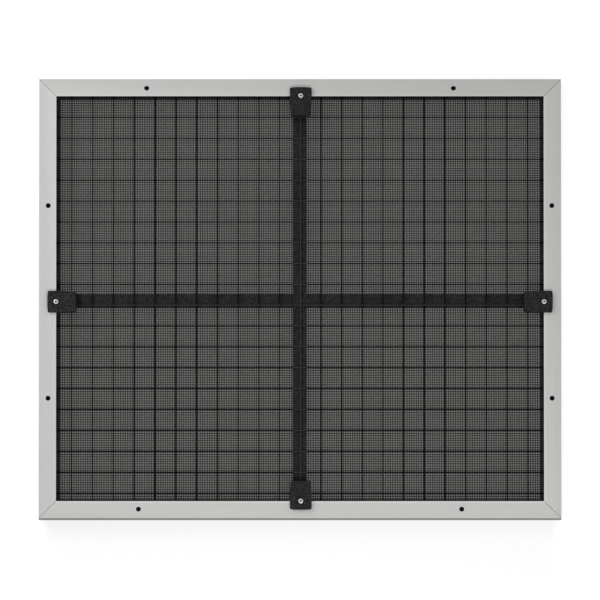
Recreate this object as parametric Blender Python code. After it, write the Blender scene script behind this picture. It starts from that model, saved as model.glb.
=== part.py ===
"""Mesh pre-filter: a mitred aluminium frame that holds a fine black screen.

The filter lies flat with its front face up. X is its width, Y its height and Z its depth, and the
origin is the middle of its footprint. From back to front the frame holds the fine screen, four flat
retainer strips level with a cross brace, and a welded wire grid. Four moulded clips lap the front
lips of the rails, and a blind rivet through each clip pulls the end of a brace bar up to it.
All sizes are in metres.
"""
import math

import bmesh
import bpy
from mathutils import Matrix

# Frame, outside to outside
FRAME_WIDTH = 0.6350
FRAME_HEIGHT = 0.5380
FRAME_DEPTH = 0.0220

# Rail section, an extrusion. An inset is measured inwards from the rail's outer face
LIP_WIDTH = 0.0210
WALL = 0.0012
EDGE_RADIUS = 0.0005
EDGE_ARC_STEPS = 3
BEAD_WIDTH = 0.0027
BEAD_RISE = 0.00025
BEAD_DROP = 0.0004
BEAD_CHAMFER = 0.0004
RIB_REACH = 0.0072
LIP_EDGE_CHAMFER = 0.0004
MITRE_GAP = 0.0003

# Fit between pieces that touch or sit inside one another
FIT = 0.0003
SHELF_HEIGHT = 0.0076

# Round holes in the front lips
HOLE_DIAMETER = 0.0061
HOLE_INSET = 0.0111
HOLE_SIDES = 16
TOP_HOLE_OFFSET = 0.1867
BOTTOM_HOLE_OFFSET = 0.1964
SIDE_HOLE_OFFSET = 0.1180

# Middle of the clips along the rails
CLIP_MIDDLE_X = 0.0009
CLIP_MIDDLE_Y = -0.0042

# Corner keys inside the rails
KEY_LEG = 0.0300
KEY_NOSE = 0.0015

# Fine screen, drawn as one wall with strand ridges and open gaps
SCREEN_WALL = 0.0005
STRAND_RIDGE_HEIGHT = 0.00025
STRAND_RIDGE_WIDTH = 0.0014
STRAND_RIDGE_PITCH = 0.0055
STRAND_RIDGES_PER_BAND = 3
SCREEN_GAP_COLUMNS = 12
SCREEN_GAP_ROWS = 10
SCREEN_OPEN_SHARE = 0.30

# Retainer strips and cross brace, cut from the same flat stock
STOCK_THICKNESS = 0.0020
STOCK_CHAMFER = 0.0003
SIDE_STRIP_LEDGE = 0.0049
END_STRIP_LEDGE = 0.0031
BRACE_WIDTH = 0.0170
BRACE_MIDDLE_X = -0.0003
BRACE_MIDDLE_Y = -0.0017
BRACE_END_INSET = 0.0145

# Welded wire grid
WIRE_DIAMETER = 0.0016
WIRE_SIDES = 8
WELD_SINK = 0.0002
WIRE_PITCH_X = 0.02524
WIRE_PITCH_Y = 0.02570
WIRE_MIDDLE_X = 0.0
WIRE_MIDDLE_Y = -0.0062
WIRE_END_GAP = 0.0010

# Moulded clips
CLIP_START_INSET = 0.0102
CLIP_LENGTH = 0.0348
CLIP_WIDTH = 0.0265
CLIP_NOSE_WIDTH = 0.0250
CLIP_TAPER_START = 0.0190
CLIP_CROWN = 0.0005
CLIP_CORNER_RADIUS = 0.0018
CLIP_ARC_STEPS = 3
CLIP_NOSE_CHAMFER = 0.0016
CLIP_PLATE = 0.0029
CLIP_SHELL = 0.0020
CLIP_EDGE = 0.0007
BOSS_DIAMETER = 0.0060
NOTCH_CLEARANCE = 0.0004
NOTCH_ARC_STEPS = 10

# Blind rivets
RIVET_INSET = 0.0206
RIVET_DIAMETER = 0.0032
RIVET_HEAD_DIAMETER = 0.0066
RIVET_HEAD_EDGE = 0.0004
RIVET_DOME = 0.0006
DOME_SHOULDER_SHARE = 0.75
DOME_SHOULDER_DROP = 0.3
RIVET_BORE_DIAMETER = 0.0019
RIVET_BORE_DEPTH = 0.0020
RIVET_SIDES = 12
WELD_DISTANCE = 0.000001
RECESS_DIAMETER = 0.0084
RECESS_DEPTH = 0.0009
COUNTERSINK_DEPTH = 0.0010

# Heights that follow from the sizes above
FACE_HEIGHT = FRAME_DEPTH - BEAD_RISE
LIP_UNDERSIDE = FACE_HEIGHT - WALL
SCREEN_BASE = SHELF_HEIGHT + FIT
SCREEN_THICKNESS = SCREEN_WALL + 2 * STRAND_RIDGE_HEIGHT
STOCK_BASE = SCREEN_BASE + SCREEN_THICKNESS + FIT
STOCK_TOP = STOCK_BASE + STOCK_THICKNESS
WIRE_BASE = STOCK_TOP + FIT
WIRE_TOP = WIRE_BASE + 2 * WIRE_DIAMETER - WELD_SINK
CHAMBER_SILL = WIRE_TOP + 2 * FIT
CHAMBER_FLOOR = CHAMBER_SILL + WALL
CLIP_UNDERSIDE = FRAME_DEPTH + FIT
CLIP_TOP = CLIP_UNDERSIDE + CLIP_PLATE
CLIP_FOOT = WIRE_TOP + FIT
RECESS_FLOOR = CLIP_TOP - RECESS_DEPTH

# Each side of the frame: turn about Z, rail length and place of its outer face
SIDES = {
    "bottom": {"turn": 0, "length": FRAME_WIDTH, "outer": FRAME_HEIGHT / 2, "middle": CLIP_MIDDLE_X,
               "hole_offset": BOTTOM_HOLE_OFFSET, "hole_middle": 0.0, "brace_middle": BRACE_MIDDLE_X},
    "right": {"turn": 90, "length": FRAME_HEIGHT, "outer": FRAME_WIDTH / 2, "middle": CLIP_MIDDLE_Y,
              "hole_offset": SIDE_HOLE_OFFSET, "hole_middle": CLIP_MIDDLE_Y,
              "brace_middle": BRACE_MIDDLE_Y},
    "top": {"turn": 180, "length": FRAME_WIDTH, "outer": FRAME_HEIGHT / 2, "middle": -CLIP_MIDDLE_X,
            "hole_offset": TOP_HOLE_OFFSET, "hole_middle": 0.0, "brace_middle": -BRACE_MIDDLE_X},
    "left": {"turn": 270, "length": FRAME_HEIGHT, "outer": FRAME_WIDTH / 2, "middle": -CLIP_MIDDLE_Y,
             "hole_offset": SIDE_HOLE_OFFSET, "hole_middle": -CLIP_MIDDLE_Y,
             "brace_middle": -BRACE_MIDDLE_Y},
}


def clear_scene():
    """Remove every object, so that the part is built from nothing."""
    for item in list(bpy.data.objects):
        bpy.data.objects.remove(item, do_unlink=True)


def material(name, colour, roughness, metallic):
    """Principled material with one colour."""
    result = bpy.data.materials.new(name)
    result.use_nodes = True
    shader = result.node_tree.nodes["Principled BSDF"]
    shader.inputs["Base Color"].default_value = (*colour, 1.0)
    shader.inputs["Roughness"].default_value = roughness
    shader.inputs["Metallic"].default_value = metallic
    result.diffuse_color = (*colour, 1.0)
    return result


def arc(centre, radius, start, end, steps):
    """Points on an arc from start to end, in degrees, both ends included."""
    angles = [math.radians(start + (end - start) * step / steps) for step in range(steps + 1)]
    return [(centre[0] + radius * math.cos(a), centre[1] + radius * math.sin(a)) for a in angles]


def add_prism(bm, outline, low, high):
    """Closed upright prism on a counter-clockwise outline. Returns its top edges."""
    bottom = [bm.verts.new((x, y, low)) for x, y in outline]
    top = [bm.verts.new((x, y, high)) for x, y in outline]
    bm.faces.new(bottom[::-1])
    lid = bm.faces.new(top)
    for index in range(len(outline)):
        after = (index + 1) % len(outline)
        bm.faces.new((bottom[index], bottom[after], top[after], top[index]))
    return list(lid.edges)


def add_box(bm, x_range, y_range, z_range):
    """Closed box between two limits on each axis. Returns its top edges."""
    (x0, x1), (y0, y1), (z0, z1) = x_range, y_range, z_range
    return add_prism(bm, [(x0, y0), (x1, y0), (x1, y1), (x0, y1)], z0, z1)


def add_cylinder(bm, centre, radius, low, high, sides):
    """Closed upright cylinder, or a cone where radius is a pair, lower one first."""
    low_radius, high_radius = radius if isinstance(radius, tuple) else (radius, radius)
    turn = Matrix.Translation((centre[0], centre[1], (low + high) / 2))
    bmesh.ops.create_cone(bm, cap_ends=True, segments=sides, radius1=low_radius, radius2=high_radius,
                          depth=high - low, matrix=turn)


def finished_mesh(bm, name):
    """Turn a bmesh into a mesh and free it."""
    mesh = bpy.data.meshes.new(name)
    bm.to_mesh(mesh)
    bm.free()
    return mesh


def combined(base, tool, operation):
    """New mesh from an exact Boolean of two meshes."""
    carrier = bpy.data.objects.new("carrier", base)
    other = bpy.data.objects.new("other", tool)
    for item in (carrier, other):
        bpy.context.scene.collection.objects.link(item)
    step = carrier.modifiers.new("combine", "BOOLEAN")
    step.object = other
    step.operation = operation
    step.solver = "EXACT"
    graph = bpy.context.evaluated_depsgraph_get()
    result = bpy.data.meshes.new_from_object(carrier.evaluated_get(graph))
    for item in (carrier, other):
        bpy.data.objects.remove(item, do_unlink=True)
    return result


def place(name, mesh, finish, turn=0, outer=0.0, smooth_angle=None):
    """Object for one sub-part, turned about Z and moved out to its side of the frame."""
    item = bpy.data.objects.new(name, mesh)
    bpy.context.scene.collection.objects.link(item)
    item.parent = bpy.data.objects["mesh_pre_filter"]
    angle = math.radians(turn)
    item.rotation_euler = (0.0, 0.0, angle)
    item.location = (outer * math.sin(angle), -outer * math.cos(angle), 0.0)
    mesh.materials.clear()
    mesh.materials.append(finish)
    if smooth_angle is not None:
        mesh.shade_smooth()
        mesh.set_sharp_from_angle(angle=math.radians(smooth_angle))
    return item


def rail_outline():
    """Outer outline of the rail section as (inset, height), counter-clockwise."""
    rib = RIB_REACH + WALL
    bead_start = LIP_WIDTH - BEAD_WIDTH
    rear = [(LIP_WIDTH - LIP_EDGE_CHAMFER, 0.0), (LIP_WIDTH, LIP_EDGE_CHAMFER),
            (LIP_WIDTH, WALL - LIP_EDGE_CHAMFER), (LIP_WIDTH - LIP_EDGE_CHAMFER, WALL), (WALL, WALL)]
    shelf = [(WALL, SHELF_HEIGHT - WALL), (rib, SHELF_HEIGHT - WALL), (rib, SHELF_HEIGHT),
             (WALL, SHELF_HEIGHT)]
    chamber = [(WALL, CHAMBER_SILL), (rib, CHAMBER_SILL), (rib, LIP_UNDERSIDE)]
    bead = [(bead_start, LIP_UNDERSIDE), (bead_start + BEAD_CHAMFER, LIP_UNDERSIDE - BEAD_DROP),
            (LIP_WIDTH - BEAD_CHAMFER, LIP_UNDERSIDE - BEAD_DROP), (LIP_WIDTH, LIP_UNDERSIDE),
            (LIP_WIDTH, FRAME_DEPTH - BEAD_CHAMFER), (LIP_WIDTH - BEAD_CHAMFER, FRAME_DEPTH),
            (bead_start + BEAD_CHAMFER, FRAME_DEPTH), (bead_start, FACE_HEIGHT)]
    upper = arc((EDGE_RADIUS, FACE_HEIGHT - EDGE_RADIUS), EDGE_RADIUS, 90, 180, EDGE_ARC_STEPS)
    lower = arc((EDGE_RADIUS, EDGE_RADIUS), EDGE_RADIUS, 180, 270, EDGE_ARC_STEPS)
    return rear + shelf + chamber + bead + upper + lower


def chamber_outline():
    """Outline of the hollow chamber for the corner keys, clockwise."""
    return [(WALL, CHAMBER_FLOOR), (WALL, LIP_UNDERSIDE), (RIB_REACH, LIP_UNDERSIDE),
            (RIB_REACH, CHAMBER_FLOOR)]


def rail_blank(length):
    """Extruded rail with both ends cut to a mitre. X runs along it and Y is the inset."""
    setback = MITRE_GAP / 2 * math.sqrt(2)
    bm = bmesh.new()
    ends = {-1: [], 1: []}
    for loop in (rail_outline(), chamber_outline()):
        rings = {end: [bm.verts.new((end * (length / 2 - inset - setback), inset, height))
                       for inset, height in loop] for end in ends}
        for index in range(len(loop)):
            after = (index + 1) % len(loop)
            bm.faces.new((rings[1][index], rings[1][after], rings[-1][after], rings[-1][index]))
            for end in ends:
                ends[end].append(bm.edges.get((rings[end][index], rings[end][after])))
    for edges in ends.values():
        bmesh.ops.triangle_fill(bm, use_beauty=True, edges=edges)
    bmesh.ops.recalc_face_normals(bm, faces=bm.faces)
    return finished_mesh(bm, "rail")


def rail_cuts(side):
    """Solids taken out of a rail's front lip: two round holes and the notch for the clip's boss."""
    low = LIP_UNDERSIDE - BEAD_DROP - WALL
    high = FRAME_DEPTH + WALL
    bm = bmesh.new()
    for sign in (-1, 1):
        centre = (side["hole_middle"] + sign * side["hole_offset"], HOLE_INSET)
        add_cylinder(bm, centre, HOLE_DIAMETER / 2, low, high, HOLE_SIDES)
    radius = BOSS_DIAMETER / 2 + NOTCH_CLEARANCE
    outline = arc((side["middle"], RIVET_INSET), radius, 180, 360, NOTCH_ARC_STEPS)
    outline += [(side["middle"] + radius, LIP_WIDTH + WALL), (side["middle"] - radius, LIP_WIDTH + WALL)]
    add_prism(bm, outline, low, high)
    return finished_mesh(bm, "rail_cuts")


def build_rails(finish):
    """Four mitred rails."""
    for name, side in SIDES.items():
        mesh = combined(rail_blank(side["length"]), rail_cuts(side), "DIFFERENCE")
        place("rail_" + name, mesh, finish, side["turn"], side["outer"])


def build_corner_keys(finish):
    """Four flat angle keys, one leg in the chamber of each rail that meets at a corner."""
    near = WALL + FIT
    far = RIB_REACH - FIT
    nose = KEY_LEG - KEY_NOSE
    outline = [(near, near), (nose, near), (KEY_LEG, near + KEY_NOSE), (KEY_LEG, far - KEY_NOSE),
               (nose, far), (far, far), (far, nose), (far - KEY_NOSE, KEY_LEG),
               (near + KEY_NOSE, KEY_LEG), (near, nose)]
    corners = {"bottom_left": (-1, -1), "bottom_right": (1, -1), "top_right": (1, 1), "top_left": (-1, 1)}
    for name, (across, up) in corners.items():
        points = [(across * (FRAME_WIDTH / 2 - x), up * (FRAME_HEIGHT / 2 - y)) for x, y in outline]
        if across * up < 0:
            points.reverse()
        bm = bmesh.new()
        add_prism(bm, points, CHAMBER_FLOOR + FIT, LIP_UNDERSIDE - FIT)
        place("corner_key_" + name, finished_mesh(bm, "corner_key"), finish)


def ridge(bm, along, centre, reach, base, rise):
    """Strand ridge, a low three-sided bar along X or Y that starts inside the wall."""
    half = STRAND_RIDGE_WIDTH / 2
    root = base - rise / 2
    section = [(centre - half, root), (centre + half, root), (centre, base + rise)]
    rings = []
    for end in (-reach, reach):
        points = [(end, a, z) if along == "X" else (a, end, z) for a, z in section]
        rings.append([bm.verts.new(point) for point in points])
    bm.faces.new(rings[0])
    bm.faces.new(rings[1][::-1])
    for index in range(3):
        after = (index + 1) % 3
        bm.faces.new((rings[0][after], rings[0][index], rings[1][index], rings[1][after]))


def band_lines(count, pitch):
    """Ridge places in the bands that lie between the rows of gaps."""
    middle = (STRAND_RIDGES_PER_BAND - 1) / 2
    shifts = [(index - middle) * STRAND_RIDGE_PITCH for index in range(STRAND_RIDGES_PER_BAND)]
    return [(band - count / 2) * pitch + shift for band in range(1, count) for shift in shifts]


def build_screen(finish):
    """Fine screen: a thin wall, weft ridges on its front, warp ridges on its back, and the gaps."""
    half_width = FRAME_WIDTH / 2 - WALL - FIT
    half_height = FRAME_HEIGHT / 2 - WALL - FIT
    wall_low = SCREEN_BASE + STRAND_RIDGE_HEIGHT
    wall_high = wall_low + SCREEN_WALL
    clear_width = FRAME_WIDTH - 2 * (LIP_WIDTH + SIDE_STRIP_LEDGE)
    clear_height = FRAME_HEIGHT - 2 * (LIP_WIDTH + END_STRIP_LEDGE)
    pitch_x = clear_width / SCREEN_GAP_COLUMNS
    pitch_y = clear_height / SCREEN_GAP_ROWS
    wall = bmesh.new()
    add_box(wall, (-half_width, half_width), (-half_height, half_height), (wall_low, wall_high))
    strands = bmesh.new()
    for y in band_lines(SCREEN_GAP_ROWS, pitch_y):
        ridge(strands, "X", y, clear_width / 2, wall_high, STRAND_RIDGE_HEIGHT)
    for x in band_lines(SCREEN_GAP_COLUMNS, pitch_x):
        ridge(strands, "Y", x, clear_height / 2, wall_low, -STRAND_RIDGE_HEIGHT)
    bmesh.ops.recalc_face_normals(strands, faces=strands.faces)
    gaps = bmesh.new()
    side = math.sqrt(SCREEN_OPEN_SHARE)
    for column in range(SCREEN_GAP_COLUMNS):
        x = (column + 0.5 - SCREEN_GAP_COLUMNS / 2) * pitch_x
        for row in range(SCREEN_GAP_ROWS):
            y = (row + 0.5 - SCREEN_GAP_ROWS / 2) * pitch_y
            add_box(gaps, (x - side * pitch_x / 2, x + side * pitch_x / 2),
                    (y - side * pitch_y / 2, y + side * pitch_y / 2),
                    (wall_low - SCREEN_WALL, wall_high + SCREEN_WALL))
    mesh = combined(finished_mesh(wall, "wall"), finished_mesh(gaps, "gaps"), "DIFFERENCE")
    mesh = combined(mesh, finished_mesh(strands, "strands"), "UNION")
    place("fine_screen", mesh, finish)


def chamfer(bm, edges):
    """Flat chamfer along the edges of the flat stock."""
    bmesh.ops.bevel(bm, geom=edges, offset=STOCK_CHAMFER, segments=1, affect="EDGES",
                    offset_type="WIDTH")


def build_retainers(finish):
    """Four strips that hold the edge of the screen, notched where a brace bar enters."""
    near = WALL + FIT
    end_far = LIP_WIDTH + END_STRIP_LEDGE
    side_far = LIP_WIDTH + SIDE_STRIP_LEDGE
    for name, side in SIDES.items():
        across = name in ("top", "bottom")
        far = end_far if across else side_far
        half = side["length"] / 2 - (near if across else end_far + FIT)
        notch = BRACE_WIDTH / 2 + FIT
        middle = side["brace_middle"]
        seat = BRACE_END_INSET - FIT
        outline = [(-half, near), (half, near), (half, far), (middle + notch, far),
                   (middle + notch, seat), (middle - notch, seat), (middle - notch, far), (-half, far)]
        bm = bmesh.new()
        chamfer(bm, add_prism(bm, outline, STOCK_BASE, STOCK_TOP))
        place("retainer_" + name, finished_mesh(bm, "retainer"), finish, side["turn"], side["outer"])


def brace_bar(name, finish, along, length, middle, cross_middle, rivet_middle):
    """Flat bar along X or Y, half lapped at the crossing, with a countersunk hole at each end."""
    half = BRACE_WIDTH / 2
    reach = length / 2 - BRACE_END_INSET
    lap = half + FIT
    seam = (STOCK_BASE + STOCK_TOP) / 2
    beyond = STOCK_THICKNESS
    blank = bmesh.new()
    chamfer(blank, add_box(blank, (-reach, reach), (middle - half, middle + half),
                           (STOCK_BASE, STOCK_TOP)))
    cuts = bmesh.new()
    above = (seam - FIT / 2, STOCK_TOP + beyond)
    below = (STOCK_BASE - beyond, seam + FIT / 2)
    add_box(cuts, (cross_middle - lap, cross_middle + lap), (middle - half - beyond, middle + half + beyond),
            above if along == "X" else below)
    bore = RIVET_DIAMETER / 2 + FIT
    for sign in (-1, 1):
        centre = (sign * (length / 2 - RIVET_INSET), rivet_middle)
        add_cylinder(cuts, centre, bore, STOCK_BASE - beyond, STOCK_TOP + beyond, RIVET_SIDES)
    mesh = combined(finished_mesh(blank, "blank"), finished_mesh(cuts, "cuts"), "DIFFERENCE")
    sinks = bmesh.new()
    for sign in (-1, 1):
        centre = (sign * (length / 2 - RIVET_INSET), rivet_middle)
        widest = bore + COUNTERSINK_DEPTH + beyond
        add_cylinder(sinks, centre, (widest, bore), STOCK_BASE - beyond, STOCK_BASE + COUNTERSINK_DEPTH,
                     RIVET_SIDES)
    mesh = combined(mesh, finished_mesh(sinks, "sinks"), "DIFFERENCE")
    if along == "Y":
        mesh.transform(Matrix(((0, 1, 0, 0), (1, 0, 0, 0), (0, 0, 1, 0), (0, 0, 0, 1))))
        mesh.flip_normals()
    place(name, mesh, finish)


def build_brace(finish):
    """Cross brace of two bars, the vertical one on top at the crossing."""
    brace_bar("brace_horizontal", finish, "X", FRAME_WIDTH, BRACE_MIDDLE_Y, BRACE_MIDDLE_X, CLIP_MIDDLE_Y)
    brace_bar("brace_vertical", finish, "Y", FRAME_HEIGHT, BRACE_MIDDLE_X, BRACE_MIDDLE_Y, CLIP_MIDDLE_X)


def wire_places(middle, pitch, limit):
    """Places of the parallel wires that fit between the rails."""
    first = math.ceil((-limit - middle) / pitch)
    last = math.floor((limit - middle) / pitch)
    return [middle + index * pitch for index in range(first, last + 1)]


def wire_runs(place_across, reach, rivets, crossings):
    """Stretches of one wire, snipped where a rivet passes, that still hold to a crossing wire."""
    cut = RIVET_DIAMETER / 2 + WIRE_DIAMETER / 2 + FIT
    stops = [-reach]
    for along, across in sorted(rivets):
        if abs(across - place_across) < cut:
            stops += [along - cut, along + cut]
    stops.append(reach)
    runs = list(zip(stops[0::2], stops[1::2]))
    return [run for run in runs if any(run[0] < cross < run[1] for cross in crossings)]


def add_wire(bm, along, across, height, run):
    """Closed round wire with an edge along its top and bottom."""
    rings = []
    for end in run:
        ring = []
        for index in range(WIRE_SIDES):
            angle = 2 * math.pi * index / WIRE_SIDES
            a = across + WIRE_DIAMETER / 2 * math.cos(angle)
            z = height + WIRE_DIAMETER / 2 * math.sin(angle)
            ring.append(bm.verts.new((end, a, z) if along == "X" else (a, end, z)))
        rings.append(ring)
    bm.faces.new(rings[0])
    bm.faces.new(rings[1][::-1])
    for index in range(WIRE_SIDES):
        after = (index + 1) % WIRE_SIDES
        bm.faces.new((rings[0][after], rings[0][index], rings[1][index], rings[1][after]))


def build_wire_grid(finish):
    """Welded grid: horizontal wires behind, vertical wires in front, sunk together at each weld."""
    half_width = FRAME_WIDTH / 2 - WALL
    half_height = FRAME_HEIGHT / 2 - WALL
    edge = FIT + WIRE_DIAMETER / 2
    columns = wire_places(WIRE_MIDDLE_X, WIRE_PITCH_X, half_width - edge)
    rows = wire_places(WIRE_MIDDLE_Y, WIRE_PITCH_Y, half_height - edge)
    side_rivet = FRAME_WIDTH / 2 - RIVET_INSET
    end_rivet = FRAME_HEIGHT / 2 - RIVET_INSET
    rivets = [(-side_rivet, CLIP_MIDDLE_Y), (side_rivet, CLIP_MIDDLE_Y),
              (CLIP_MIDDLE_X, -end_rivet), (CLIP_MIDDLE_X, end_rivet)]
    lower = WIRE_BASE + WIRE_DIAMETER / 2
    upper = WIRE_TOP - WIRE_DIAMETER / 2
    horizontal = bmesh.new()
    for y in rows:
        for run in wire_runs(y, half_width - WIRE_END_GAP, rivets, columns):
            add_wire(horizontal, "X", y, lower, run)
    vertical = bmesh.new()
    for x in columns:
        for run in wire_runs(x, half_height - WIRE_END_GAP, [(b, a) for a, b in rivets], rows):
            add_wire(vertical, "Y", x, upper, run)
    for bm in (horizontal, vertical):
        bmesh.ops.recalc_face_normals(bm, faces=bm.faces)
    mesh = combined(finished_mesh(horizontal, "rows"), finished_mesh(vertical, "columns"), "UNION")
    place("wire_grid", mesh, finish)


def clip_outline():
    """Plan of the clip: crowned outer end, straight then tapering sides, chamfered nose."""
    half = CLIP_WIDTH / 2
    nose = CLIP_NOSE_WIDTH / 2
    start = CLIP_START_INSET
    end = start + CLIP_LENGTH
    corner = CLIP_CORNER_RADIUS
    left = arc((-half + corner, start + CLIP_CROWN + corner), corner, 180, 270, CLIP_ARC_STEPS)
    right = arc((half - corner, start + CLIP_CROWN + corner), corner, 270, 360, CLIP_ARC_STEPS)
    shoulder = start + CLIP_CROWN / 4
    crown = [(-half / 2, shoulder), (0.0, start), (half / 2, shoulder)]
    taper = start + CLIP_TAPER_START
    front = [(half, taper), (nose, end - CLIP_NOSE_CHAMFER), (nose - CLIP_NOSE_CHAMFER, end),
             (-nose + CLIP_NOSE_CHAMFER, end), (-nose, end - CLIP_NOSE_CHAMFER), (-half, taper)]
    return left + crown + right + front


def clip_mesh():
    """Moulded clip: a plate over the lip, a hollow nose down to the wires, and the rivet boss."""
    body = bmesh.new()
    rim = add_prism(body, clip_outline(), CLIP_FOOT, CLIP_TOP)
    bmesh.ops.bevel(body, geom=rim, offset=CLIP_EDGE, segments=2, profile=0.5, affect="EDGES")
    mesh = finished_mesh(body, "clip")
    far = CLIP_START_INSET + CLIP_LENGTH
    wide = CLIP_WIDTH
    inner_face = LIP_WIDTH + FIT
    bead_face = LIP_WIDTH - BEAD_WIDTH - FIT
    for near, height in ((0.0, FACE_HEIGHT + FIT), (bead_face, CLIP_UNDERSIDE)):
        lap = bmesh.new()
        add_box(lap, (-wide, wide), (near, inner_face), (0.0, height))
        mesh = combined(mesh, finished_mesh(lap, "lap"), "DIFFERENCE")
    boss = bmesh.new()
    add_cylinder(boss, (0.0, RIVET_INSET), BOSS_DIAMETER / 2, CLIP_FOOT, CLIP_UNDERSIDE + CLIP_PLATE / 2,
                 RIVET_SIDES)
    mesh = combined(mesh, finished_mesh(boss, "boss"), "UNION")
    core = bmesh.new()
    core_half = CLIP_NOSE_WIDTH / 2 - CLIP_SHELL
    core_near = max(inner_face + CLIP_SHELL, RIVET_INSET + BOSS_DIAMETER / 2 + FIT)
    add_box(core, (-core_half, core_half), (core_near, far - CLIP_SHELL),
            (CLIP_FOOT - CLIP_SHELL, CLIP_TOP - CLIP_SHELL))
    add_cylinder(core, (0.0, RIVET_INSET), RIVET_DIAMETER / 2 + FIT, CLIP_FOOT - CLIP_SHELL,
                 RECESS_FLOOR + RECESS_DEPTH / 2, RIVET_SIDES)
    mesh = combined(mesh, finished_mesh(core, "core"), "DIFFERENCE")
    recess = bmesh.new()
    add_cylinder(recess, (0.0, RIVET_INSET), RECESS_DIAMETER / 2, RECESS_FLOOR, CLIP_TOP + CLIP_SHELL,
                 2 * RIVET_SIDES)
    return combined(mesh, finished_mesh(recess, "recess"), "DIFFERENCE")


def rivet_mesh():
    """Blind rivet as a turned piece: domed head with its mandrel hole, shank, and tail set below."""
    head = RIVET_HEAD_DIAMETER / 2
    shank = RIVET_DIAMETER / 2
    bore = RIVET_BORE_DIAMETER / 2
    seat = RECESS_FLOOR + FIT
    crown = seat + RIVET_HEAD_EDGE + RIVET_DOME
    tail = STOCK_BASE + FIT
    flare = COUNTERSINK_DEPTH - FIT
    profile = [(0.0, tail), (shank + flare, tail), (shank, tail + flare), (shank, seat), (head, seat),
               (head, seat + RIVET_HEAD_EDGE),
               (DOME_SHOULDER_SHARE * head, crown - DOME_SHOULDER_DROP * RIVET_DOME), (bore, crown),
               (bore, crown - RIVET_BORE_DEPTH), (0.0, crown - RIVET_BORE_DEPTH)]
    bm = bmesh.new()
    points = [bm.verts.new((radius, 0.0, height)) for radius, height in profile]
    edges = [bm.edges.new(pair) for pair in zip(points, points[1:])]
    bmesh.ops.spin(bm, geom=points + edges, cent=(0, 0, 0), axis=(0, 0, 1), angle=2 * math.pi,
                   steps=RIVET_SIDES, use_merge=True)
    bmesh.ops.remove_doubles(bm, verts=bm.verts, dist=WELD_DISTANCE)
    bmesh.ops.recalc_face_normals(bm, faces=bm.faces)
    bmesh.ops.translate(bm, verts=bm.verts, vec=(0.0, RIVET_INSET, 0.0))
    return finished_mesh(bm, "rivet")


def build_clips(clip_finish, rivet_finish):
    """A clip and its rivet at the middle of each rail."""
    clip = clip_mesh()
    rivet = rivet_mesh()
    for name, side in SIDES.items():
        for piece, mesh, finish, smooth in (("clip_", clip, clip_finish, None),
                                            ("rivet_", rivet, rivet_finish, 40)):
            shifted = mesh.copy()
            shifted.transform(Matrix.Translation((side["middle"], 0.0, 0.0)))
            place(piece + name, shifted, finish, side["turn"], side["outer"], smooth)


def build():
    """Whole filter, under one empty."""
    clear_scene()
    root = bpy.data.objects.new("mesh_pre_filter", None)
    bpy.context.scene.collection.objects.link(root)
    aluminium = material("satin_aluminium", (0.56, 0.555, 0.545), 0.42, 0.35)
    key_alloy = material("key_alloy", (0.45, 0.45, 0.45), 0.50, 0.60)
    weave = material("screen_weave", (0.010, 0.010, 0.010), 0.70, 0.0)
    stock = material("black_stock", (0.015, 0.015, 0.015), 0.60, 0.0)
    wire = material("coated_wire", (0.012, 0.012, 0.012), 0.45, 0.0)
    plastic = material("clip_plastic", (0.022, 0.022, 0.022), 0.55, 0.0)
    bright = material("rivet_metal", (0.60, 0.60, 0.59), 0.35, 0.90)
    build_rails(aluminium)
    build_corner_keys(key_alloy)
    build_screen(weave)
    build_retainers(stock)
    build_brace(stock)
    build_wire_grid(wire)
    build_clips(plastic, bright)


build()
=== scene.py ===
"""Looks of the mesh pre-filter, section by section as the filter is put together."""
import math
import random

import bpy
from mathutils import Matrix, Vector


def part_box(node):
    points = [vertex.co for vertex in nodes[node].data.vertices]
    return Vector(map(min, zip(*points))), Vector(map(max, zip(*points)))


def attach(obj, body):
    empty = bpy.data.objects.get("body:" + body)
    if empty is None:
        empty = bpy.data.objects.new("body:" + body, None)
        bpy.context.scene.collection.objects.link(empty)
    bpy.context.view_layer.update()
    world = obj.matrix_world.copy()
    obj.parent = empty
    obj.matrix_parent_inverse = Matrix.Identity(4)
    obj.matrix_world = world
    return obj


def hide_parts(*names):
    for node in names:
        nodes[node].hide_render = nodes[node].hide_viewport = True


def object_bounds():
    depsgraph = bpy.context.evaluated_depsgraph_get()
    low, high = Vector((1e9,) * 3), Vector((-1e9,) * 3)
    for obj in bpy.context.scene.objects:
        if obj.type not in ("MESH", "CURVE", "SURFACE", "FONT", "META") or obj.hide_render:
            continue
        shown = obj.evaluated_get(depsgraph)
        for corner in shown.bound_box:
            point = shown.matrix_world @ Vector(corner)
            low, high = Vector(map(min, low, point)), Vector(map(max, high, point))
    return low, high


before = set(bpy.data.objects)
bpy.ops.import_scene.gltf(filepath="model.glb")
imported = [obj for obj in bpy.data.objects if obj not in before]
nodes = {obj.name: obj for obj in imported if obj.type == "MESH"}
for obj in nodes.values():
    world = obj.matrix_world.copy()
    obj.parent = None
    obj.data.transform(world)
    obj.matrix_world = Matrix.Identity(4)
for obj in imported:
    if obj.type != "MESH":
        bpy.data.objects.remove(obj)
cad_low, cad_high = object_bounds()
SIDES = ("bottom", "right", "top", "left")


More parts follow.
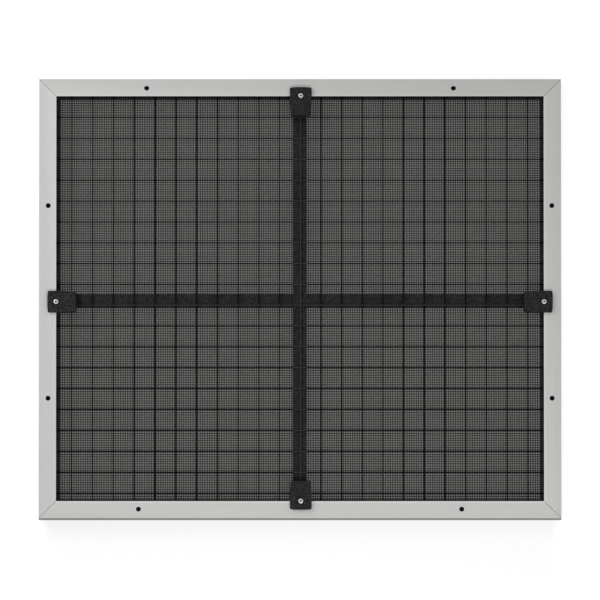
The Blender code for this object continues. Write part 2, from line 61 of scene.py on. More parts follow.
# The four rails are lengths of one aluminium extrusion with a satin anodised face, cut to a mitre at
# both ends. Their edges are deburred, and the sawn ends are bare and dark where they meet.
EASE_SEGMENTS = 2
EASED_ANGLE = math.radians(34)
FLAT_ANGLE = math.radians(0.5)
SAME_POINT = 0.000005
LARGE_FACES_FIRST = 100
RAIL_EDGE_EASE = 0.00018
RAIL_SMOOTH_ANGLE = math.radians(38)
RAIL_LIP = 0.021
RAIL_OUTER_SHADE = 0.97
RAIL_SHADE_TONES = {"bottom": 1.0, "right": 1.0, "top": 0.95, "left": 1.0}
OUTER_WALL_SHADE = 0.48
WALL_REACH = 0.0001
BEAD_HIGHLIGHT_TONES = {"bottom": 1.11, "right": 1.12, "top": 1.03, "left": 1.03}
BEAD_REACH = 0.0028
BEAD_LOW = 0.0215
MITRE_REACH = 0.0007
DIAGONAL = 0.2
DIE_STRETCH = 0.04
CLOUD_DETAIL = 3.0
GRAIN_DETAIL = 4.0
GRAIN_ROUGHNESS = 0.65
NOISE_SPAN = (0.3, 0.7)
ANODISED_LIGHT = Vector((0.596, 0.590, 0.582))
ANODISED_DARK = Vector((0.550, 0.544, 0.536))
SAWN_LIGHT = (0.24, 0.24, 0.235, 1)
SAWN_DARK = (0.14, 0.14, 0.135, 1)


def surface_grain_group():
    """Cloudy tone, fine grain and a bump height, for any finish that varies a little over a face."""
    group = bpy.data.node_groups.new("surface_grain", "ShaderNodeTree")
    for label, kind, default in (("Vector", "NodeSocketVector", (0, 0, 0)),
                                 ("Light Tone", "NodeSocketColor", (0.5, 0.5, 0.5, 1)),
                                 ("Dark Tone", "NodeSocketColor", (0.4, 0.4, 0.4, 1)),
                                 ("Cloud Scale", "NodeSocketFloat", 20.0),
                                 ("Grain Scale", "NodeSocketFloat", 400.0),
                                 ("Grain Share", "NodeSocketFloat", 0.3),
                                 ("Noise Low", "NodeSocketFloat", NOISE_SPAN[0]),
                                 ("Noise High", "NodeSocketFloat", NOISE_SPAN[1]),
                                 ("Roughness Low", "NodeSocketFloat", 0.4),
                                 ("Roughness High", "NodeSocketFloat", 0.5)):
        group.interface.new_socket(label, in_out="INPUT", socket_type=kind).default_value = default
    for label, kind in (("Color", "NodeSocketColor"), ("Roughness", "NodeSocketFloat"),
                        ("Height", "NodeSocketFloat")):
        group.interface.new_socket(label, in_out="OUTPUT", socket_type=kind)
    tree = group.nodes
    link = group.links.new
    given = tree.new("NodeGroupInput")
    result = tree.new("NodeGroupOutput")
    cloud = tree.new("ShaderNodeTexNoise")
    cloud.inputs["Detail"].default_value = CLOUD_DETAIL
    grain = tree.new("ShaderNodeTexNoise")
    grain.inputs["Detail"].default_value = GRAIN_DETAIL
    grain.inputs["Roughness"].default_value = GRAIN_ROUGHNESS
    blend = tree.new("ShaderNodeMix")
    tone = tree.new("ShaderNodeMix")
    tone.data_type = "RGBA"
    spread = tree.new("ShaderNodeMapRange")
    for noise, scale in ((cloud, "Cloud Scale"), (grain, "Grain Scale")):
        link(given.outputs["Vector"], noise.inputs["Vector"])
        link(given.outputs[scale], noise.inputs["Scale"])
    link(given.outputs["Grain Share"], blend.inputs["Factor"])
    link(cloud.outputs["Fac"], blend.inputs["A"])
    link(grain.outputs["Fac"], blend.inputs["B"])
    link(blend.outputs["Result"], spread.inputs["Value"])
    link(given.outputs["Noise Low"], spread.inputs["From Min"])
    link(given.outputs["Noise High"], spread.inputs["From Max"])
    link(spread.outputs["Result"], tone.inputs["Factor"])
    link(given.outputs["Dark Tone"], tone.inputs["A"])
    link(given.outputs["Light Tone"], tone.inputs["B"])
    rough = tree.new("ShaderNodeMapRange")
    rough.inputs["From Min"].default_value = NOISE_SPAN[0]
    rough.inputs["From Max"].default_value = NOISE_SPAN[1]
    link(grain.outputs["Fac"], rough.inputs["Value"])
    link(given.outputs["Roughness Low"], rough.inputs["To Min"])
    link(given.outputs["Roughness High"], rough.inputs["To Max"])
    link(tone.outputs["Result"], result.inputs["Color"])
    link(rough.outputs["Result"], result.inputs["Roughness"])
    link(grain.outputs["Fac"], result.inputs["Height"])
    return group


SURFACE_GRAIN = surface_grain_group()


def grained_finish(name, light, dark, roughness, stretch=(1, 1, 1), cloud=20.0, grain=400.0,
                   grain_share=0.3, noise=NOISE_SPAN, bump=0.0001, metallic=0.0, specular=0.5):
    """Principled material whose tone, roughness and bump come from the grain group."""
    finish = bpy.data.materials.new(name)
    finish.use_nodes = True
    tree = finish.node_tree.nodes
    link = finish.node_tree.links.new
    shader = tree["Principled BSDF"]
    shader.inputs["Metallic"].default_value = metallic
    shader.inputs["Specular IOR Level"].default_value = specular
    place = tree.new("ShaderNodeTexCoord")
    mapping = tree.new("ShaderNodeMapping")
    mapping.inputs["Scale"].default_value = stretch
    effect = tree.new("ShaderNodeGroup")
    effect.node_tree = SURFACE_GRAIN
    effect.inputs["Light Tone"].default_value = light
    effect.inputs["Dark Tone"].default_value = dark
    effect.inputs["Cloud Scale"].default_value = cloud
    effect.inputs["Grain Scale"].default_value = grain
    effect.inputs["Grain Share"].default_value = grain_share
    effect.inputs["Noise Low"].default_value = noise[0]
    effect.inputs["Noise High"].default_value = noise[1]
    effect.inputs["Roughness Low"].default_value = roughness[0]
    effect.inputs["Roughness High"].default_value = roughness[1]
    relief = tree.new("ShaderNodeBump")
    relief.inputs["Strength"].default_value = 1.0
    relief.inputs["Distance"].default_value = bump
    link(place.outputs["Object"], mapping.inputs["Vector"])
    link(mapping.outputs["Vector"], effect.inputs["Vector"])
    link(effect.outputs["Color"], shader.inputs["Base Color"])
    link(effect.outputs["Roughness"], shader.inputs["Roughness"])
    link(effect.outputs["Height"], relief.inputs["Height"])
    link(relief.outputs["Normal"], shader.inputs["Normal"])
    return finish


def select_only(piece):
    """Deselect everything, then select one object and make it the active one."""
    bpy.ops.object.select_all(action="DESELECT")
    piece.select_set(True)
    bpy.context.view_layer.objects.active = piece


def dress(piece, name, slot, finish, *stands_for):
    """Settle a finished piece at the origin with its name, finish, body and the nodes it stands for."""
    select_only(piece)
    bpy.ops.object.transform_apply(location=True, rotation=True, scale=True)
    piece.name = name
    piece.data.name = name
    piece.data.materials.clear()
    piece.data.materials.append(finish)
    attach(piece, "root")
    if stands_for:
        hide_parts(*stands_for)


def eased_copy(node, name, ease, smooth_angle):
    """Copy of a CAD node with its triangles merged and its sharp edges rounded over."""
    piece = bpy.data.objects.new(name, nodes[node].data.copy())
    bpy.context.scene.collection.objects.link(piece)
    select_only(piece)
    bpy.ops.object.mode_set(mode="EDIT")
    bpy.ops.mesh.select_all(action="SELECT")
    bpy.ops.mesh.remove_doubles(threshold=SAME_POINT)
    bpy.ops.mesh.dissolve_limited(angle_limit=FLAT_ANGLE)
    bpy.ops.object.mode_set(mode="OBJECT")
    rounding = piece.modifiers.new("edge_ease", "BEVEL")
    rounding.width = ease
    rounding.segments = EASE_SEGMENTS
    rounding.limit_method = "ANGLE"
    rounding.angle_limit = EASED_ANGLE
    bpy.ops.object.modifier_apply(modifier="edge_ease")
    bpy.ops.object.shade_smooth_by_angle(angle=smooth_angle)
    flats = piece.modifiers.new("flat_faces", "WEIGHTED_NORMAL")
    flats.mode = "FACE_AREA"
    flats.weight = LARGE_FACES_FIRST
    flats.keep_sharp = True
    bpy.ops.object.modifier_apply(modifier="flat_faces")
    return piece


def face_finish(piece, finish, chosen):
    """Give the faces that a test picks a finish of their own."""
    piece.data.materials.append(finish)
    for face in piece.data.polygons:
        if chosen(face):
            face.material_index = len(piece.data.materials) - 1


def anodised(name, along_x, share):
    """Satin anodised finish with its fine die lines along the rail, at a share of the full tone."""
    return grained_finish(name, (*(share * ANODISED_LIGHT), 1), (*(share * ANODISED_DARK), 1),
                          (0.48, 0.60), stretch=(DIE_STRETCH, 1, 1) if along_x else (1, DIE_STRETCH, 1),
                          cloud=40.0, grain=900.0, grain_share=0.5, noise=(0.38, 0.62), bump=0.00002,
                          metallic=0.10, specular=0.25)


def faded_tone(finish, distance, start, end, share):
    """Scale a finish's tone from 1 to a share of it while a distance socket goes from start to end."""
    tree = finish.node_tree.nodes
    link = finish.node_tree.links.new
    fade = tree.new("ShaderNodeMapRange")
    fade.inputs["From Min"].default_value = start
    fade.inputs["From Max"].default_value = end
    fade.inputs["To Min"].default_value = 1.0
    fade.inputs["To Max"].default_value = share
    tint = tree.new("ShaderNodeVectorMath")
    tint.operation = "SCALE"
    shader = tree["Principled BSDF"]
    link(distance, fade.inputs["Value"])
    link(shader.inputs["Base Color"].links[0].from_socket, tint.inputs[0])
    link(fade.outputs["Result"], tint.inputs["Scale"])
    link(tint.outputs["Vector"], shader.inputs["Base Color"])


def toned_towards(finish, axis, start, end, share):
    """Fade a finish's tone between two distances from the middle line of the filter."""
    tree = finish.node_tree.nodes
    link = finish.node_tree.links.new
    place = tree.new("ShaderNodeTexCoord")
    split = tree.new("ShaderNodeSeparateXYZ")
    reach = tree.new("ShaderNodeMath")
    reach.operation = "ABSOLUTE"
    link(place.outputs["Object"], split.inputs["Vector"])
    link(split.outputs[axis], reach.inputs[0])
    faded_tone(finish, reach.outputs["Value"], start, end, share)


def at_mitre(face):
    """True for the sawn end faces of a rail and their eased edges."""
    to_side = cad_high.x - abs(face.center.x)
    to_end = cad_high.y - abs(face.center.y)
    diagonal = min(abs(face.normal.x), abs(face.normal.y)) > DIAGONAL
    return diagonal and abs(to_side - to_end) < MITRE_REACH


def on_bead(face):
    """True for the top and the slopes of the bead along the opening."""
    inset = min(cad_high.x - abs(face.center.x), cad_high.y - abs(face.center.y))
    return (RAIL_LIP - inset < BEAD_REACH and face.center.z > BEAD_LOW
            and face.normal.z > DIAGONAL)


def on_outer_wall(face):
    """True for the outer wall of a rail."""
    to_edge = min(cad_high.x - abs(face.center.x), cad_high.y - abs(face.center.y))
    return abs(face.normal.z) < DIAGONAL and to_edge < WALL_REACH


sawn_finish = grained_finish("sawn_end", SAWN_LIGHT, SAWN_DARK, (0.5, 0.7), stretch=(1, 1, 0.1),
                             cloud=200.0, grain=2500.0, grain_share=0.6, bump=0.00003, metallic=0.3)
for side in SIDES:
    along_x = side in ("bottom", "top")
    rail = eased_copy("rail_" + side, "extruded_rail_" + side, RAIL_EDGE_EASE, RAIL_SMOOTH_ANGLE)
    # Painted shade: the top rail's finish is set a little darker than the others, for the light falling
    # off across the frame.
    rail_finish = anodised("anodised_" + side, along_x, RAIL_SHADE_TONES[side])
    outer = cad_high.y if along_x else cad_high.x
    # Painted shade: the face of each rail darkens towards its outer edge.
    toned_towards(rail_finish, "Y" if along_x else "X", outer - RAIL_LIP, outer, RAIL_OUTER_SHADE)
    dress(rail, "extruded_rail_" + side, "frame_aluminium", rail_finish, "rail_" + side)
    # Painted shade: the outer wall of each rail gets a darker copy of the anodised finish.
    face_finish(rail, anodised("wall_" + side, along_x, OUTER_WALL_SHADE), on_outer_wall)
    # Painted highlight: the bead along the opening gets a lighter copy of the finish, most on the bottom
    # and right rails.
    face_finish(rail, anodised("bead_" + side, along_x, BEAD_HIGHLIGHT_TONES[side]), on_bead)
    face_finish(rail, sawn_finish, at_mitre)


# The corner keys are stamped aluminium angles pushed into the hollow of the rails. They are hidden, and
# keep their bare mill finish.
mill_finish = grained_finish("mill_aluminium", (0.48, 0.48, 0.48, 1), (0.40, 0.40, 0.40, 1), (0.35, 0.5),
                             cloud=60.0, grain=900.0, bump=0.00002, metallic=0.8)
for corner in ("bottom_left", "bottom_right", "top_right", "top_left"):
    key = nodes["corner_key_" + corner]
    key.data.materials.clear()
    key.data.materials.append(mill_finish)


# The fine screen is a plain weave of flattened black strands, about nine to each square of the wire grid.
# One strand of each direction and phase is drawn with its waves, and an array repeats it over the screen.
STRAND_PITCH = 0.00285
STRAND_WANDER = 0.0004
WANDERS = 6
STRAND_WIDTH = 0.00124
STRAND_THICKNESS = 0.00048
STRAND_FACETS = 4
STRAND_STRAY = 0.00010
SCREEN_LAY = Vector((0.00140, 0.00143, 0))
TOUCHING = 0.00001
screen_low, screen_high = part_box("fine_screen")
screen_middle = (screen_low + screen_high) / 2
strand_wave = (screen_high.z - screen_low.z - STRAND_THICKNESS) / 2
warp_waves = int((screen_high.y - screen_low.y) / (2 * STRAND_PITCH))
weft_waves = int((screen_high.x - screen_low.x) / (2 * STRAND_PITCH))
strand_black = grained_finish("strand_black", (0.050, 0.050, 0.048, 1), (0.034, 0.034, 0.033, 1),
                              (0.45, 0.65), cloud=45.0, grain=1500.0, bump=0.00002, specular=0.3)


def repeated(piece, label, count, offset):
    """Array a mesh and weld the copies where they touch."""
    array = piece.modifiers.new(label, "ARRAY")
    array.count = count
    array.use_relative_offset = False
    array.use_constant_offset = True
    array.constant_offset_displace = offset
    array.use_merge_vertices = True
    array.merge_threshold = TOUCHING
    bpy.ops.object.modifier_apply(modifier=label)


def woven_strands(name, along, phase):
    """Every second strand of one direction: half a wave is drawn, mirrored and repeated."""
    along_y = along == "Y"
    waves, others = (warp_waves, 2 * weft_waves - 1) if along_y else (weft_waves, 2 * warp_waves - 1)
    ahead = Vector((0, 1, 0)) if along_y else Vector((1, 0, 0))
    aside = Vector((1, 0, 0)) if along_y else Vector((0, 1, 0))
    rise = strand_wave * (-1 if along_y == (phase == 0) else 1)
    bpy.ops.object.select_all(action="DESELECT")
    bpy.ops.mesh.primitive_cylinder_add(vertices=STRAND_FACETS, radius=STRAND_WIDTH / 2,
                                        depth=STRAND_PITCH, end_fill_type="NOTHING",
                                        rotation=(math.pi / 2, 0, 0) if along_y else (0, math.pi / 2, 0))
    strand = bpy.context.object
    bpy.ops.object.transform_apply(location=False, rotation=True, scale=False)
    bpy.ops.object.mode_set(mode="EDIT")
    bpy.ops.transform.resize(value=(1, 1, STRAND_THICKNESS / STRAND_WIDTH))
    bpy.ops.transform.translate(value=ahead * STRAND_PITCH / 2)
    bpy.ops.object.mode_set(mode="OBJECT")
    for vertex in strand.data.vertices:
        vertex.co.z += rise if vertex.co.dot(ahead) > STRAND_PITCH / 2 else -rise
    mirror = strand.modifiers.new("wave", "MIRROR")
    mirror.use_axis = (not along_y, along_y, False)
    mirror.merge_threshold = TOUCHING
    bpy.ops.object.modifier_apply(modifier="wave")
    repeated(strand, "strand", waves, ahead * 2 * STRAND_PITCH)
    bpy.ops.object.mode_set(mode="EDIT")
    bpy.ops.mesh.select_all(action="DESELECT")
    bpy.ops.mesh.select_non_manifold()
    bpy.ops.mesh.fill_holes(sides=STRAND_FACETS)
    bpy.ops.mesh.select_all(action="SELECT")
    bpy.ops.mesh.normals_make_consistent(inside=False)
    bpy.ops.object.mode_set(mode="OBJECT")
    bpy.ops.object.shade_smooth()
    copies = (others + 1) // 2 - phase
    repeated(strand, "strands", copies, aside * 2 * STRAND_PITCH)
    stray = [random.uniform(-STRAND_STRAY, STRAND_STRAY) for _ in range(copies)]
    for vertex in strand.data.vertices:
        vertex.co += aside * stray[round(vertex.co.dot(aside) / (2 * STRAND_PITCH))]
    first = (ahead * (waves - 1) + aside * ((others - 1) / 2 - phase)) * STRAND_PITCH
    strand.location = screen_middle + SCREEN_LAY - first
    dress(strand, name, "screen_strand", strand_black, "fine_screen")
    for vertex in strand.data.vertices:
        turns = WANDERS * (vertex.co.x - screen_low.x) / (screen_high.x - screen_low.x)
        vertex.co.x += STRAND_WANDER * math.sin(2 * math.pi * turns)


random.seed(9)
for phase, letter in enumerate("ab"):
    woven_strands("screen_warp_" + letter, "Y", phase)
    woven_strands("screen_weft_" + letter, "X", phase)


# Flat black strips hold the edge of the screen, and two bars of the same stock make the brace behind the
# wires. Their cut edges are already chamfered, so they keep the CAD shape and get the finish of the stock.
# Painted shadow: each brace bar darkens towards its ends, where the clips shade it.
CLIP_SHADOW_REACH = 0.0090
CLIP_SHADOW_TONE = 0.3
bar_black = grained_finish("bar_black", (0.022, 0.022, 0.022, 1), (0.002, 0.002, 0.002, 1),
                           (0.55, 0.70), cloud=60.0, grain=500.0, grain_share=0.85, noise=(0.42, 0.6),
                           bump=0.00004, specular=0.18)
strip_black = grained_finish("strip_black", (0.016, 0.016, 0.016, 1), (0.008, 0.008, 0.008, 1),
                             (0.60, 0.75), cloud=60.0, grain=600.0, grain_share=0.75, noise=(0.4, 0.6),
                             bump=0.00004, specular=0.16)
stock_pieces = {"retainer_" + side: strip_black for side in SIDES}
for node, axis, nose in (("brace_horizontal", "X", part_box("clip_right")[0].x),
                         ("brace_vertical", "Y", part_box("clip_top")[0].y)):
    stock_pieces[node] = bar_black.copy()
    toned_towards(stock_pieces[node], axis, nose - CLIP_SHADOW_REACH, nose - CLIP_SHADOW_REACH / 2, CLIP_SHADOW_TONE)
for node, finish in stock_pieces.items():
    nodes[node].data.materials.clear()
    nodes[node].data.materials.append(finish)


# The wire grid is welded from round drawn wire, level wires behind and upright wires in front, and dipped
# in black coating, which fills the corners at each weld. A wire that meets a rivet is snipped short.
WIRE_PITCH_X = 0.025225
WIRE_PITCH_Y = 0.02561
WIRE_MIDDLE_X = 0.0
WIRE_MIDDLE_Y = -0.0072
WIRE_DRIFT_X = 0.0005
WIRE_DRIFT_Y = 0.0004
WIRE_DRIFT_SPAN = 18
WIRE_DRIFT_START = 3
WIRE_DIAMETER = 0.0016
WIRE_SNIP = 0.0028
WIRE_ROUNDS = 12
WIRE_SMOOTH_ANGLE = math.radians(50)
WIRE_END_EASE = WIRE_DIAMETER / 5
WIRE_END_ANGLE = math.radians(60)
WELD_RADIUS = 0.62 * WIRE_DIAMETER
WELD_HEIGHT = 0.75
WELD_SEGMENTS = 8
WELD_RINGS = 6
# Painted highlight: the upward crests of the wires over the brace bars are lighter.
CREST_START = 0.75
CREST_FULL = 0.92
CREST_HIGHLIGHT = (0.060, 0.058, 0.055, 1)
grid_low, grid_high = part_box("wire_grid")
rivet_far_x = (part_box("rivet_right")[0].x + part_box("rivet_right")[1].x) / 2
rivet_far_y = (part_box("rivet_top")[0].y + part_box("rivet_top")[1].y) / 2
wire_black = grained_finish("wire_coating", (0.005, 0.005, 0.005, 1), (0.003, 0.003, 0.003, 1),
                            (0.30, 0.42), cloud=90.0, grain=1200.0, bump=0.00002, specular=0.04)


def lit_crests_over_bars(finish):
    """Paint a grey highlight on the upward crests of the wires that lie on the upright bar and along the
    level bar.
    """
    tree = finish.node_tree.nodes
    link = finish.node_tree.links.new
    place = tree.new("ShaderNodeTexCoord")
    split = tree.new("ShaderNodeSeparateXYZ")
    link(place.outputs["Object"], split.inputs["Vector"])
    over = tree.new("ShaderNodeMath")
    over.operation = "MAXIMUM"
    bar_low, bar_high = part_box("brace_vertical")
    for slot, (axis, middle, reach) in enumerate((
            ("X", (bar_low.x + bar_high.x) / 2, (bar_high.x - bar_low.x) / 2),
            ("Y", WIRE_MIDDLE_Y, WIRE_DIAMETER / 2))):
        within = tree.new("ShaderNodeMath")
        within.operation = "COMPARE"
        within.inputs[1].default_value = middle
        within.inputs[2].default_value = reach
        link(split.outputs[axis], within.inputs[0])
        link(within.outputs["Value"], over.inputs[slot])
    facing = tree.new("ShaderNodeNewGeometry")
    upward = tree.new("ShaderNodeSeparateXYZ")
    crest = tree.new("ShaderNodeMapRange")
    crest.inputs["From Min"].default_value = CREST_START
    crest.inputs["From Max"].default_value = CREST_FULL
    share = tree.new("ShaderNodeMath")
    share.operation = "MULTIPLY"
    highlight = tree.new("ShaderNodeMix")
    highlight.data_type = "RGBA"
    highlight.inputs["B"].default_value = CREST_HIGHLIGHT
    shader = tree["Principled BSDF"]
    link(facing.outputs["Normal"], upward.inputs["Vector"])
    link(upward.outputs["Z"], crest.inputs["Value"])
    link(crest.outputs["Result"], share.inputs[0])
    link(over.outputs["Value"], share.inputs[1])
    link(share.outputs["Value"], highlight.inputs["Factor"])
    link(shader.inputs["Base Color"].links[0].from_socket, highlight.inputs["A"])
    link(highlight.outputs["Result"], shader.inputs["Base Color"])


lit_crests_over_bars(wire_black)


def places_between(middle, pitch, low, high):
    """Places of the wires that fit between two limits."""
    first = math.ceil((low - middle) / pitch)
    last = math.floor((high - middle) / pitch)
    return [middle + index * pitch for index in range(first, last + 1)]


columns = places_between(WIRE_MIDDLE_X, WIRE_PITCH_X, grid_low.x + WIRE_DIAMETER / 2,
                         grid_high.x - WIRE_DIAMETER / 2)
rows = places_between(WIRE_MIDDLE_Y, WIRE_PITCH_Y, grid_low.y + WIRE_DIAMETER / 2,
                      grid_high.y - WIRE_DIAMETER / 2)


def drawn_wire(along, across, height, low, high):
    """Round wire with eased ends from low to high."""
    turn = (0, math.pi / 2, 0) if along == "X" else (math.pi / 2, 0, 0)
    middle = (low + high) / 2
    place = (middle, across, height) if along == "X" else (across, middle, height)
    bpy.ops.object.select_all(action="DESELECT")
    bpy.ops.mesh.primitive_cylinder_add(vertices=WIRE_ROUNDS, radius=WIRE_DIAMETER / 2,
                                        depth=high - low, location=place, rotation=turn)
    wire = bpy.context.object
    ends = wire.modifiers.new("ends", "BEVEL")
    ends.width = WIRE_END_EASE
    ends.segments = EASE_SEGMENTS
    ends.limit_method = "ANGLE"
    ends.angle_limit = WIRE_END_ANGLE
    bpy.ops.object.modifier_apply(modifier="ends")
    return wire


level_height = grid_low.z + WIRE_DIAMETER / 2
upright_height = grid_high.z - WIRE_DIAMETER / 2
wires = []
for y in rows:
    middle_wire = abs(y - WIRE_MIDDLE_Y) < WIRE_PITCH_Y / 2
    stretches = [(grid_low.x, grid_high.x)]
    if middle_wire:
        stretches = [(grid_low.x, -rivet_far_x - WIRE_SNIP), (-rivet_far_x + WIRE_SNIP,
                     rivet_far_x - WIRE_SNIP), (rivet_far_x + WIRE_SNIP, grid_high.x)]
    wires += [drawn_wire("X", y, level_height, low, high) for low, high in stretches]
for x in columns:
    middle_wire = abs(x - WIRE_MIDDLE_X) < WIRE_PITCH_X / 2
    stretches = [(grid_low.y, grid_high.y)]
    if middle_wire:
        stretches = [(grid_low.y, -rivet_far_y - WIRE_SNIP), (-rivet_far_y + WIRE_SNIP,
                     rivet_far_y - WIRE_SNIP)]
    wires += [drawn_wire("Y", x, upright_height, low, high) for low, high in stretches]
bpy.ops.object.select_all(action="DESELECT")
bpy.ops.mesh.primitive_uv_sphere_add(segments=WELD_SEGMENTS, ring_count=WELD_RINGS, radius=WELD_RADIUS,
                                     location=(columns[0], rows[0], (level_height + upright_height) / 2),
                                     scale=(1, 1, WELD_HEIGHT))
weld = bpy.context.object
bpy.ops.object.transform_apply(location=False, rotation=False, scale=True)
repeated(weld, "across", len(columns), (WIRE_PITCH_X, 0, 0))
repeated(weld, "up", len(rows), (0, WIRE_PITCH_Y, 0))
for piece in wires:
    piece.select_set(True)
bpy.ops.object.join()
bpy.ops.object.transform_apply(location=True, rotation=True, scale=True)
for vertex in weld.data.vertices:
    column = (vertex.co.x - WIRE_MIDDLE_X) / WIRE_PITCH_X
    row = (vertex.co.y - WIRE_MIDDLE_Y) / WIRE_PITCH_Y
    vertex.co.x += WIRE_DRIFT_X * math.cos(2 * math.pi * (column + WIRE_DRIFT_START) / len(columns))
    vertex.co.y -= WIRE_DRIFT_Y * math.sin(2 * math.pi * row / WIRE_DRIFT_SPAN)
bpy.ops.object.shade_smooth_by_angle(angle=WIRE_SMOOTH_ANGLE)
dress(weld, "welded_wires", "coated_wire", wire_black, "wire_grid")


# The clips are injection moulded in black plastic with a fine spark-eroded grain. Each laps the front
# lip of its rail, reaches down to the wires beside it and is held by its rivet.
CLIP_EDGE_EASE = 0.00022
CLIP_SMOOTH_ANGLE = math.radians(35)
RECESS_RADIUS = 0.0043
clip_black = grained_finish("clip_plastic", (0.025, 0.025, 0.025, 1), (0.003, 0.003, 0.003, 1),
                            (0.50, 0.62), cloud=150.0, grain=500.0, grain_share=0.9, noise=(0.42, 0.6),
                            bump=0.00004, specular=0.18)
# Painted shade: the faces of the recess round each rivet get a near-black finish of their own.
recess_shade = grained_finish("recess_shade", (0.005, 0.005, 0.005, 1), (0.003, 0.003, 0.003, 1),
                              (0.70, 0.85), cloud=200.0, grain=2200.0, bump=0.00003, specular=0.1)
for side in SIDES:
    clip = eased_copy("clip_" + side, "moulded_clip_" + side, CLIP_EDGE_EASE, CLIP_SMOOTH_ANGLE)
    dress(clip, "moulded_clip_" + side, "clip_plastic", clip_black, "clip_" + side)
    rivet_low, rivet_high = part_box("rivet_" + side)
    rivet_axis = (rivet_low + rivet_high) / 2
    clip_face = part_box("clip_" + side)[1].z - CLIP_EDGE_EASE
    face_finish(clip, recess_shade, lambda face: face.center.z < clip_face
                and (face.center - rivet_axis).xy.length < RECESS_RADIUS)


# The blind rivets are bright aluminium: a domed head in the recess of the clip, with the hole that the
# broken mandrel leaves in its middle.
RIVET_EDGE_EASE = 0.00012
RIVET_SMOOTH_ANGLE = math.radians(50)
MANDREL_RADIUS = 0.0010
RIM_START = 0.0026
RIM_FULL = 0.0030
RIM_SHADE_TONE = 0.25
rivet_bright = grained_finish("rivet_bright", (0.62, 0.62, 0.61, 1), (0.52, 0.52, 0.51, 1), (0.35, 0.48),
                              cloud=300.0, grain=3000.0, bump=0.00002, metallic=0.5)
# The hole gets the mandrel's dark steel, darkened further as painted shade inside the hole.
mandrel_steel_and_shade = grained_finish("mandrel_steel_and_shade", (0.05, 0.05, 0.05, 1), (0.02, 0.02, 0.02, 1), (0.5, 0.7),
                               cloud=500.0, grain=4000.0, bump=0.00002, metallic=0.5)


def shaded_rim(finish, centre):
    """Darken a rivet's finish at the rim of its head, as painted shade where the head sits in the recess.
    """
    tree = finish.node_tree.nodes
    link = finish.node_tree.links.new
    place = tree.new("ShaderNodeTexCoord")
    flat = tree.new("ShaderNodeMapping")
    flat.inputs["Location"].default_value = (-centre.x, -centre.y, 0)
    flat.inputs["Scale"].default_value = (1, 1, 0)
    reach = tree.new("ShaderNodeVectorMath")
    reach.operation = "LENGTH"
    link(place.outputs["Object"], flat.inputs["Vector"])
    link(flat.outputs["Vector"], reach.inputs[0])
    faded_tone(finish, reach.outputs["Value"], RIM_START, RIM_FULL, RIM_SHADE_TONE)


for side in SIDES:
    rivet_low, rivet_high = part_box("rivet_" + side)
    rivet_axis = (rivet_low + rivet_high) / 2
    rivet = eased_copy("rivet_" + side, "blind_rivet_" + side, RIVET_EDGE_EASE, RIVET_SMOOTH_ANGLE)
    rivet_finish = rivet_bright.copy()
    shaded_rim(rivet_finish, rivet_axis)
    dress(rivet, "blind_rivet_" + side, "rivet_metal", rivet_finish, "rivet_" + side)
    face_finish(rivet, mandrel_steel_and_shade, lambda face: face.center.z > rivet_axis.z
                and (face.center - rivet_axis).xy.length < MANDREL_RADIUS)


# The filter lies on a white floor with painted shade under it and painted light beside and behind it,
# under soft light from the upper left and a fill from the front.
# The camera looks down from far off, about 7 degrees from the square view, as the photograph's does.
PHOTO_SIZE = 600
PIXEL_SIZE = 0.0012161
FACE_HEIGHT = 0.0218
AIM = Vector((-0.00006, -0.00196, FACE_HEIGHT))
TILT = math.radians(7)
CAMERA_DISTANCE = 30.0
SENSOR_WIDTH = 36
WORLD_STRENGTH = 0.55
FLOOR_SIZE = 80
FLOOR_DROP = 0.0002
FLOOR_BOUNCE = (0.18, 0.18, 0.18, 1)
# Painted shade: under the filter the paper is darker and glows only weakly and evenly.
FLOOR_SHADE_UNDER = (0.20, 0.20, 0.195, 1)
FLOOR_SHADED = (0.36, 0.36, 0.36, 1)
GLOW_SHADE_UNDER = (0.143, 0.142, 0.136, 1)
GLOW_OPEN = (0.66, 0.66, 0.66, 1)
# Painted light: the paper glows more beside and behind the filter, which hides the filter's shadow there.
SIDE_LIGHT_GLOW = 0.30
FLOOR_FADE = 0.004
SIDE_FADE = 0.012


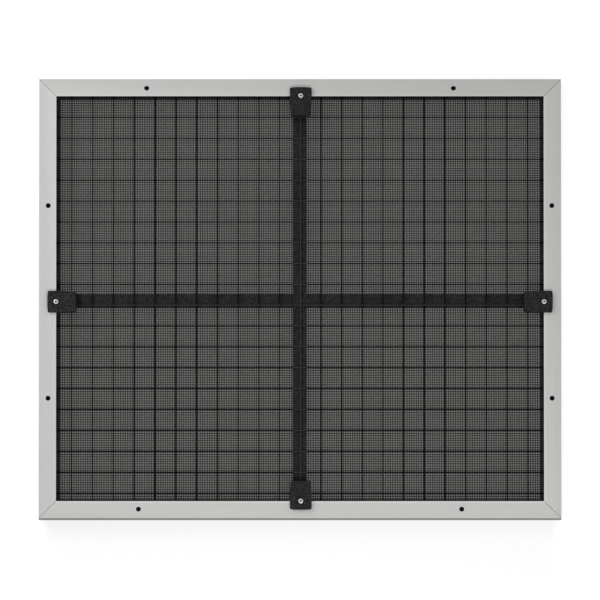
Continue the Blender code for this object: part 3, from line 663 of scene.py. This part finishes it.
def floor_paper():
    """White paper with painted shade where the filter covers it and painted light to the sides of and
    behind the filter.
    """
    paper = bpy.data.materials.new("floor_paper")
    paper.use_nodes = True
    tree = paper.node_tree.nodes
    link = paper.node_tree.links.new
    tree.remove(tree["Principled BSDF"])

    def floor_math(operation, first, second):
        """Math node fed by sockets or plain numbers."""
        node = tree.new("ShaderNodeMath")
        node.operation = operation
        for socket, value in zip(node.inputs, (first, second)):
            if isinstance(value, (int, float)):
                socket.default_value = value
            else:
                link(value, socket)
        return node.outputs["Value"]

    def floor_mix(factor, under, over):
        """Colour mix of two given colours, the second of which may be a socket."""
        node = tree.new("ShaderNodeMix")
        node.data_type = "RGBA"
        node.inputs["A"].default_value = under
        if isinstance(over, tuple):
            node.inputs["B"].default_value = over
        else:
            link(over, node.inputs["B"])
        link(factor, node.inputs["Factor"])
        return node.outputs["Result"]

    place = tree.new("ShaderNodeTexCoord")
    across = tree.new("ShaderNodeSeparateXYZ")
    link(place.outputs["Object"], across.inputs["Vector"])
    beyond_x = floor_math("SUBTRACT", floor_math("ABSOLUTE", across.outputs["X"], 0), cad_high.x)
    beyond_y = floor_math("SUBTRACT", floor_math("ABSOLUTE", across.outputs["Y"], 0), cad_high.y)
    beyond_back = floor_math("SUBTRACT", across.outputs["Y"], cad_high.y)
    open_floor = tree.new("ShaderNodeMapRange")
    open_floor.inputs["From Min"].default_value = -FLOOR_FADE
    open_floor.inputs["From Max"].default_value = 0
    link(floor_math("MAXIMUM", beyond_x, beyond_y), open_floor.inputs["Value"])
    sides = tree.new("ShaderNodeMapRange")
    sides.inputs["From Min"].default_value = -SIDE_FADE
    sides.inputs["From Max"].default_value = SIDE_FADE
    sides.inputs["To Min"].default_value = 1.0
    sides.inputs["To Max"].default_value = 1.0 + SIDE_LIGHT_GLOW
    link(floor_math("MAXIMUM", beyond_x, beyond_back), sides.inputs["Value"])
    rays = tree.new("ShaderNodeLightPath")
    seen = floor_math("MAXIMUM", floor_math("MAXIMUM", rays.outputs["Is Camera Ray"],
                                            rays.outputs["Is Glossy Ray"]),
                      rays.outputs["Is Transmission Ray"])
    shaded = floor_mix(open_floor.outputs["Result"], FLOOR_SHADE_UNDER, FLOOR_SHADED)
    matt = tree.new("ShaderNodeBsdfDiffuse")
    link(floor_mix(seen, FLOOR_BOUNCE, shaded), matt.inputs["Color"])
    glow = tree.new("ShaderNodeEmission")
    link(floor_mix(open_floor.outputs["Result"], GLOW_SHADE_UNDER, GLOW_OPEN), glow.inputs["Color"])
    link(floor_math("MULTIPLY", seen, sides.outputs["Result"]), glow.inputs["Strength"])
    both = tree.new("ShaderNodeAddShader")
    link(matt.outputs["BSDF"], both.inputs[0])
    link(glow.outputs["Emission"], both.inputs[1])
    link(both.outputs["Shader"], tree["Material Output"].inputs["Surface"])
    return paper


bpy.ops.object.select_all(action="DESELECT")
bpy.ops.mesh.primitive_plane_add(size=FLOOR_SIZE, location=(0, 0, -FLOOR_DROP))
floor = bpy.context.object
floor.name = "floor"
floor.data.materials.append(floor_paper())


def soft_light(name, place, size, power):
    """Square area light that looks at the middle of the filter."""
    lamp = bpy.data.lights.new(name, "AREA")
    lamp.energy = power
    lamp.size = size
    item = bpy.data.objects.new(name, lamp)
    item.location = place
    item.rotation_euler = (Vector((0, 0, 0)) - Vector(place)).to_track_quat("-Z", "Y").to_euler()
    item.visible_camera = False
    bpy.context.scene.collection.objects.link(item)


soft_light("key", (-0.84, 0.49, 0.66), size=0.8, power=4.8)
soft_light("fill", (0.23, -0.89, 1.20), size=0.6, power=6.6)
world = bpy.data.worlds.new("studio")
bpy.context.scene.world = world
world.use_nodes = True
world.node_tree.nodes["Background"].inputs["Color"].default_value = (1, 1, 1, 1)
world.node_tree.nodes["Background"].inputs["Strength"].default_value = WORLD_STRENGTH

camera = bpy.data.objects.new("camera", bpy.data.cameras.new("camera"))
bpy.context.scene.collection.objects.link(camera)
camera.data.sensor_width = SENSOR_WIDTH
camera.data.lens = SENSOR_WIDTH * CAMERA_DISTANCE / (PHOTO_SIZE * PIXEL_SIZE)
camera.data.clip_end = 2 * CAMERA_DISTANCE
camera.location = AIM + CAMERA_DISTANCE * Vector((0, -math.sin(TILT), math.cos(TILT)))
camera.rotation_euler = (TILT, 0, 0)
bpy.context.scene.camera = camera
bpy.context.scene.view_settings.view_transform = "Standard"
